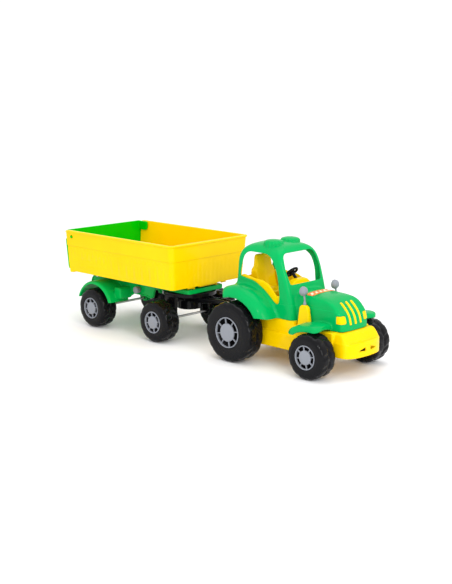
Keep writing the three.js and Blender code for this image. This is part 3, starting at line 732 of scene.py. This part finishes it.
def make_sticker():
    """A thin film laid on the hood, with rounded corners."""
    x0, x1, half, corner = FRONT_X - 45, FRONT_X - 31, 27.0, 3.0
    rows, columns = 14, 54
    vertices = []
    for i in range(rows + 1):
        x = x0 + (x1 - x0) * i / rows
        past = max(0.0, corner - min(x - x0, x1 - x))
        reach = half - corner + math.sqrt(max(0.0, corner**2 - past**2))
        vertices += [(x, reach * (2 * j / columns - 1)) for j in range(columns + 1)]
    flat = np.array(vertices)
    low, high = np.full(len(flat), 90.0), np.full(len(flat), 130.0)
    for _ in range(24):
        z = (low + high) / 2
        under = hood(flat[:, 0] - FRONT_X, flat[:, 1], z) < 0
        low, high = np.where(under, z, low), np.where(under, high, z)
    top = np.column_stack([flat, low + 0.5])
    faces = []
    for i in range(rows):
        for j in range(columns):
            a = i * (columns + 1) + j
            faces.append((a, a + columns + 1, a + columns + 2, a + 1))
    piece = new_object("hood_sticker_looks", top, faces)
    thick = piece.modifiers.new("film", "SOLIDIFY")
    thick.thickness = 0.3 * MM
    thick.offset = -1
    dress(piece, "tractor", STICKER, "sticker", "hood_sticker")


def make_steering_wheel():
    def field(x, y, z):
        u, w = column_axes(x - FRONT_X, z)
        r = np.hypot(u, y)
        grip = 0.12 * np.cos(16 * np.arctan2(y, u))
        ring = np.hypot(r - 9.4, w) - 1.9 - grip
        column = both(r - 2.4, slab(w, -22, 0.8), 0.4)
        boss = both(r - 4.6, slab(w, -4, 1.6), 1.0)
        whole = union(union(ring, column, 0.4), boss, 0.8)
        for k in range(3):
            turn = 2 * math.pi * k / 3
            along = u * math.cos(turn) + y * math.sin(turn)
            aside = np.abs(y * math.cos(turn) - u * math.sin(turn)) - 1.5
            whole = union(whole, both(both(aside, slab(along, 0, 8.6)), np.abs(w) - 1.0, 0.5), 0.8)
        return whole

    low, high = (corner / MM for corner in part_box("steering_wheel"))
    piece = moulded("steering_wheel_looks", field, low, high, step=0.5, flatness=0.05)
    dress(piece, "steering", BLACK, "black", "steering_wheel")


def make_mirrors():
    for side in ("left", "right"):
        centre = middle(f"mirror_{side}")
        low, high = (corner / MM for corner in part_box(f"mirror_{side}"))
        head_z = high.z - 7.2

        def field(x, y, z, centre=centre, low=low, head_z=head_z):
            x, y = x - MIRROR_X, y - centre.y
            lean = 2.4 * np.clip((z - head_z + 16) / 12, 0, 1) ** 2
            r = np.hypot(x + lean, y)
            collar = 1.2 * np.exp(-(((z - low.z - 9.5) / 2.4) ** 2))
            stalk = both(r - 1.4 - collar, slab(z, low.z, head_z), 0.4)
            x = x + 3.5
            dome = both(np.sqrt(x**2 + y**2 + (z - head_z) ** 2) - 7.1, -2.4 - x, 1.0)
            glass = np.hypot(y, z - head_z) - 5.4
            return minus(union(dome, stalk, 1.5), both(glass, x + 1.7), 0.3)

        piece = moulded(f"mirror_{side}_looks", field, low, high, step=0.45, flatness=0.04)
        dress(piece, f"mirror_{side[0]}", GREY, "grey", f"mirror_{side}")


def make_tractor():
    front = FRONT_X
    boxes = {
        "tractor_body_shell": ((front - 177, -79, 64), (front + 30, 79, 188)),
        "tractor_chassis": ((front - 205, -48, 24), (front + 53, 48, 100)),
        "nose_insert": ((front + 4, -35, 70), (front + 31, 35, 113)),
        "cab_interior": ((front - 173, -42, 66), (front - 60, 42, 133)),
        "driver_seat": ((front - 164, -23, 69), (front - 112, 23, 160)),
    }
    looks = {
        "tractor_body_shell": (body_shell, GREEN, "tractor_green"),
        "tractor_chassis": (tractor_chassis, YELLOW, "yellow"),
        "nose_insert": (nose_insert, YELLOW, "yellow"),
        "cab_interior": (cab_interior, YELLOW, "yellow"),
        "driver_seat": (driver_seat, YELLOW, "yellow"),
    }
    for node, (field, material, slot) in looks.items():
        piece = moulded(node + "_looks", field, *boxes[node])
        dress(piece, "tractor", material, slot, node)
    make_sticker()
    make_steering_wheel()
    make_mirrors()


# ------------------------------------------------------------------ dolly, x from its kingpin

DRAWBAR_END = HITCH.x - DOLLY_X
DRAWBAR_SIDE = rounded([
    (-2, 60.5), (40, 60.5, 6), (76, 65.6, 6), (DRAWBAR_END, 66.6), (DRAWBAR_END, 71.8),
    (76, 71.4, 6), (44, 69, 6), (30, 72, 4), (-2, 72),
])
DRAWBAR_PLAN = rounded([
    (-2, -20), (40, -12.5, 8), (90, -6.2, 8), (DRAWBAR_END, -6.2),
    (DRAWBAR_END, 6.2), (90, 6.2, 8), (40, 12.5, 8), (-2, 20),
])
AXLE_LEG = rounded([(-9, 33, 3), (-5, 28, 3), (5, 28, 3), (9, 33, 3), (13, 74), (-13, 74)])


def dolly_frame(x, y, z):
    x = x - DOLLY_X
    across = np.abs(y)
    r = np.hypot(x, y)
    table = both(r - 45.8, slab(z, 71, 78), 1.0)
    table = minus(table, both(np.abs(r - 34) - 5, 76 - z, 0.3), 0.5)
    ring = both(r - 21, slab(z, 46.5, 72), 1.2)
    bar = both(outline(x, z, DRAWBAR_SIDE), outline(x, y, DRAWBAR_PLAN), 1.2)
    channel = both(both(outline(x, y, DRAWBAR_PLAN) + 2.5, slab(x, 28, DRAWBAR_END - 14)), 69.6 - z)
    bar = minus(bar, channel, 0.5)
    eye = both(np.hypot(x - DRAWBAR_END, y) - 9, slab(z, 66.6, 71.8), 1.0)
    beam = block(x, y, z, (-8, 8), (-46, 46), (62, 72), 1.0)
    leg = both(outline(x, z, AXLE_LEG), slab(across, 38, 46), 0.8)
    leg = minus(leg, both(outline(x, z, AXLE_LEG) + 2.4, across - 44.5), 0.5)
    whole = union(union(table, ring, 1.2), union(bar, eye, 1.2), 1.5)
    whole = union(whole, union(beam, leg, 1.0), 1.5)
    ribs = both(both(np.minimum(np.abs(y), np.abs(x)) - 0.9, r - 44), slab(z, 62, 72), 0.4)
    whole = union(whole, ribs, 0.8)
    holes = np.minimum(r - 5.4, np.hypot(x - DRAWBAR_END, y) - 3.6)
    return minus(minus(whole, holes, 0.4), np.hypot(x, z - SMALL_RADIUS) - 2.4, 0.3)


def make_dolly():
    low, high = (DOLLY_X - 46, -47, 27), (HITCH.x + 10, 47, 79)
    piece = moulded("dolly_frame_looks", dolly_frame, low, high)
    dress(piece, "dolly", BLACK, "black", "dolly_frame")


# ------------------------------------------------------------------ trailer, x from its rear axle

FRAME_WALL = rounded([
    (-52, 62, 4), (-20, 56, 10), (13, 50, 8), (53, 56, 6), (61, 62, 4), (96, 62, 2), (99, 60.3, 2),
    (111, 60.3, 5), (114, 72, 4), (118, 79, 4), (198, 79), (198, FRAME_TOP),
    (-40, FRAME_TOP, 4), (-52, 74, 4),
])
TRAILER_LEG = rounded([(-8, 32, 3), (-4, 28, 3), (4, 28, 3), (8, 32, 3), (13, 62), (-13, 62)])
TRAILER_FENDER = rounded([(41, 38), (41, 79.6, 1), (43.6, 79.8, 1.5), (46.4, 77.5, 3), (47, 38)])
STEP = rounded([(36.5, 54, 3), (54, 54, 3), (54, 73, 4), (36.5, 73, 3)])


def trailer_chassis(x, y, z):
    x = x - TRAILER_X
    across = np.abs(y)
    plan = both(slab(x, -52, 198), across - FRAME_HALF, 5)
    solid = both(outline(x, z, FRAME_WALL), plan, 1.2)
    solid = minus(solid, block(x, y, z, (-90, 195), (-37.5, 37.5), (20, FRAME_TOP - SKIN), 2), 0.8)
    rear_gap = block(x, y, z, (-90, -18), (-37.5, 37.5), (20, 120), 2)
    solid = minus(solid, rear_gap, 0.8)
    wall = outline(x, z, FRAME_WALL)
    lip = both(both(wall, -(wall + 2.2)), slab(across, 38, 41.6), 0.6)
    solid = union(solid, both(lip, x - 190), 0.5)
    leg = both(outline(x, z, TRAILER_LEG), slab(across, 38, 46), 0.8)
    step = both(outline(x, z, STEP), slab(across, 39, 64), 2.5)
    r = np.hypot(x, z - SMALL_RADIUS)
    fender = both(outline(r, across, TRAILER_FENDER), 48 - z, 1.0)
    whole = union(union(solid, leg, 1.2), union(step, fender, 2.0), 2.0)
    pivots = np.minimum(np.hypot(x - TIP_X, z - TIP_Z) - 2.4, r - 2.4)
    knob_hole = np.hypot(x - (KNOB.x - TRAILER_X), z - KNOB.z) - 3.4
    holes = np.minimum(pivots, np.minimum(np.hypot(x - KINGPIN_X, y) - 5.4, knob_hole))
    return minus(whole, holes, 0.4)


BED_REAR, BED_FRONT, BED_HALF = -59.5, 206.0, 84.0
BED_BOTTOM, BED_TOP = 92.6, 165.7
BED_BAND = 139.5
BED_WALL = 2.6
RIB_PITCH = 9.6


def bed_flare(x, y, z):
    """Bed coordinates with the flare of the walls taken out."""
    share = (z - BED_BOTTOM) / (BED_TOP - BED_BOTTOM)
    wide = y / (1 + (90 / BED_HALF - 1) * share)
    forward = BED_REAR + (x - BED_REAR) / (1 + (268.5 / 265.5 - 1) * share)
    return forward, wide


def bed_plan(x, y, corner=9.0):
    dx = x - BED_FRONT + corner
    dy = np.abs(y) - BED_HALF + corner
    return np.hypot(np.maximum(dx, 0), np.maximum(dy, 0)) + np.minimum(np.maximum(dx, dy), 0) - corner


def cargo_bed(x, y, z):
    x = x - TRAILER_X
    fx, fy = bed_flare(x, y, z)
    plan = bed_plan(fx, fy)
    along = np.where(np.abs(fy) > BED_HALF - 6, fx, fy)
    rib = np.clip(0.5 + 1.4 * np.cos(2 * math.pi * along / RIB_PITCH), 0, 1)
    rib = rib * np.where(np.abs(fy) > BED_HALF - 6, 0.3, 0.12)
    fade = np.clip((BED_BAND - 4 - z) / 2, 0, 1) * np.clip((z - BED_BOTTOM - 2) / 2, 0, 1)
    corner = np.clip((np.hypot(BED_FRONT - fx, BED_HALF - np.abs(fy)) - 14) / 4, 0, 1)
    lip = 2.5 * np.clip((-48 - x) / 4, 0, 1)
    lower = both(plan + 1.1 - rib * fade * corner, np.maximum(BED_BOTTOM - lip - z, z - BED_BAND), 0.5)
    upper = both(plan, slab(z, BED_BAND - 1, BED_TOP), 0.8)
    rim = both(plan - 1.9, slab(z, BED_TOP - 3.4, BED_TOP), 1.2)
    solid = union(union(lower, upper, 0.6), rim, 0.8)
    solid = both(solid, BED_REAR - x, 0.6)
    inside = both(plan + 3.8, BED_BOTTOM + BED_WALL - z, 2.0)
    solid = minus(solid, inside, 0.9)
    beyond = np.hypot(x - BED_REAR - 5, z - BED_TOP + 5) - 5
    solid = np.where((x < BED_REAR + 5) & (z > BED_TOP - 5), np.maximum(solid, beyond), solid)
    skirt = block(x, y, z, (197.5, 200.5), (-44, 44), (89.5, BED_BOTTOM + 1), 0.6)
    skirt = minus(skirt, both(slab(np.abs(y), 19, 33), z - BED_BOTTOM + 1), 0.4)
    rail_side = both(slab(x, -15, 196), slab(z, FRAME_TOP + 0.4, BED_BOTTOM + 1))
    rails = both(slab(np.abs(y), 24.5, 27.5), rail_side, 0.3)
    lug = both(outline(x, z, LUG), slab(np.abs(y), 31, 36), 0.5)
    whole = union(union(union(solid, rails, 0.8), lug, 0.8), skirt, 0.6)
    holes = np.minimum(np.hypot(x - TIP_X, z - TIP_Z) - 2.4,
                       both(np.hypot(x - GATE_HINGE_X, z - GATE_HINGE_Z) - 2.7, 70 - np.abs(y)))
    return minus(whole, holes, 0.3)


LUG = rounded([
    (TIP_X - 8, BED_BOTTOM + 1), (TIP_X - 6, TIP_Z - 5, 5),
    (TIP_X + 6, TIP_Z - 5, 5), (TIP_X + 8, BED_BOTTOM + 1),
])
GATE_BACK = BED_REAR - 0.5
GATE_OUTLINE = rounded(mirrored([(83, 94, 7), (88, 149.3, 1), (85.5, 150.7, 1), (85.5, 165.5, 4)]))
EAR = rounded([
    (GATE_BACK - 1, GATE_HINGE_Z - 6), (GATE_HINGE_X + 6, GATE_HINGE_Z - 6, 6),
    (GATE_HINGE_X + 6, 165, 4), (GATE_BACK - 1, 165),
])


def tailgate(x, y, z):
    x = x - TRAILER_X
    across = np.abs(y)
    plate = both(outline(y, z, GATE_OUTLINE), slab(x, GATE_BACK - 3, GATE_BACK), 0.9)
    panel = outline(y, z, GATE_OUTLINE) + 9
    plate = minus(plate, both(panel, x - GATE_BACK + 2.2), 0.5)
    stiff = both(both(np.abs(np.abs(y) - 28) - 1.2, panel), slab(x, GATE_BACK - 3, GATE_BACK - 1), 0.5)
    plate = union(plate, stiff, 0.4)
    ear = both(outline(x, z, EAR), slab(across, 80.8, 84.2), 0.7)
    pin = both(np.hypot(x - GATE_HINGE_X, z - GATE_HINGE_Z) - 2.2, slab(across, 83, 91), 0.5)
    return union(plate, union(ear, pin, 0.6), 0.8)


def make_trailer():
    axle = TRAILER_X
    pieces = {
        "trailer_chassis": (
            trailer_chassis, (axle - 53, -81, 27), (axle + 199, 81, 88),
            TRAILER_GREEN, "trailer_green", "trailer",
        ),
        "cargo_bed": (
            cargo_bed, (axle - 60, -93, 74), (axle + 212, 93, 166),
            YELLOW, "yellow", "bed",
        ),
        "tailgate": (
            tailgate, (axle - 64, -92, 93), (axle - 38, 92, 166),
            GATE_GREEN, "trailer_green", "gate",
        ),
    }
    for node, (field, low, high, material, slot, body) in pieces.items():
        dress(moulded(node + "_looks", field, low, high), body, material, slot, node)
    for side, sign in (("left", 1), ("right", -1)):
        low, high = (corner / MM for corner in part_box(f"side_knob_{side}"))
        centre = middle(f"side_knob_{side}")
        depth = high.y - low.y
        profile = [
            (0, 0), (3, 0), (3, 6.3), (5.6, 6.3), (6, 6.8),
            (6, depth - 1.2), (5.6, depth - 0.4), (4.8, depth), (0, depth - 0.3),
        ]
        profile = [(r, sign * y) for r, y in profile]
        start = low.y if sign > 0 else high.y
        piece = turned(f"side_knob_{side}_looks", profile, (centre.x, start, centre.z))
        dress(piece, "trailer", GREY, "grey", f"side_knob_{side}")


# ------------------------------------------------------------------ axles and pins


def make_rods():
    for node, body in (("front_axle", "tractor"), ("rear_axle", "tractor"), ("dolly_axle", "dolly"),
                       ("trailer_axle", "trailer"), ("bed_pivot_pin", "trailer")):
        half = span(node).y / 2
        piece = turned(node + "_looks", rod(2.0, -half, half), middle(node), sides=32)
        dress(piece, body, STEEL, "steel", node)
    half = span("hitch_pin").z / 2
    centre = middle("hitch_pin")
    profile = [(0, -half), (3, -half), (3, half - 2), (2.4, half - 0.6), (1.6, half), (0, half)]
    profile = [(r, -y) for r, y in profile]
    dress(turned("hitch_pin_looks", profile, centre, "Z", 32), "tractor", GREY, "grey", "hitch_pin")
    centre = middle("kingpin")
    half = span("kingpin").z / 2
    profile = [
        (0, -half), (5, -half), (5, half - 2.2),
        (7, half - 2.2), (7, half - 0.6), (6.3, half), (0, half),
    ]
    profile = [(r, -y) for r, y in profile]
    dress(turned("kingpin_looks", profile, centre, "Z", 40), "dolly", STEEL, "steel", "kingpin")


# ------------------------------------------------------------------ stage, light and camera


def make_stage():
    floor, tree, surface, place = shader("pale_floor")
    surface.inputs["Base Color"].default_value = (0.97, 0.97, 0.98, 1)
    surface.inputs["Roughness"].default_value = 0.6
    surface.inputs["Specular IOR Level"].default_value = 0.2
    reach = 20e3
    corners = [(-reach, -reach, 0), (reach, -reach, 0), (reach, reach, 0), (-reach, reach, 0)]
    plane = new_object("floor", corners, [(0, 1, 2, 3)])
    plane.data.materials.append(floor)
    world = bpy.data.worlds.new("studio")
    bpy.context.scene.world = world
    world.use_nodes = True
    backdrop = world.node_tree.nodes["Background"]
    backdrop.inputs["Color"].default_value = (1, 1, 1, 1)
    backdrop.inputs["Strength"].default_value = 1.06
    lamps = (
        ("overhead", (0.0, 0.1, 1.7), 1.2, 1.2, 6),
        ("front_fill", (1.65, -0.85, 0.8), 0.9, 0.9, 10.5),
        ("glint_right", (1.25, -0.55, 0.95), 0.035, 0.11, 2.2),
        ("glint_left", (0.75, -1.35, 1.05), 0.035, 0.11, 2.2),
    )
    for name, place, width, height, power in lamps:
        light = bpy.data.lights.new(name, "AREA")
        light.shape = "RECTANGLE"
        light.size = width
        light.size_y = height
        light.energy = power
        lamp = bpy.data.objects.new(name, light)
        lamp.location = place
        lamp.rotation_euler = (Vector((0.1, 0, 0.05)) - Vector(place)).to_track_quat("-Z", "Y").to_euler()
        bpy.context.scene.collection.objects.link(lamp)


def make_camera():
    camera = bpy.data.objects.new("camera", bpy.data.cameras.new("camera"))
    camera.data.lens = 65.87
    camera.data.sensor_width = 36
    camera.data.clip_end = 100
    camera.location = (1.1927, -1.2290, 0.4367)
    target = Vector((0.0089, 0, 0.0846))
    camera.rotation_euler = (target - camera.location).to_track_quat("-Z", "Y").to_euler()
    bpy.context.scene.collection.objects.link(camera)
    bpy.context.scene.camera = camera


bpy.context.scene.view_settings.view_transform = "Standard"
make_camera()
make_stage()
make_wheels()
make_rods()
make_tractor()
make_dolly()
make_trailer()
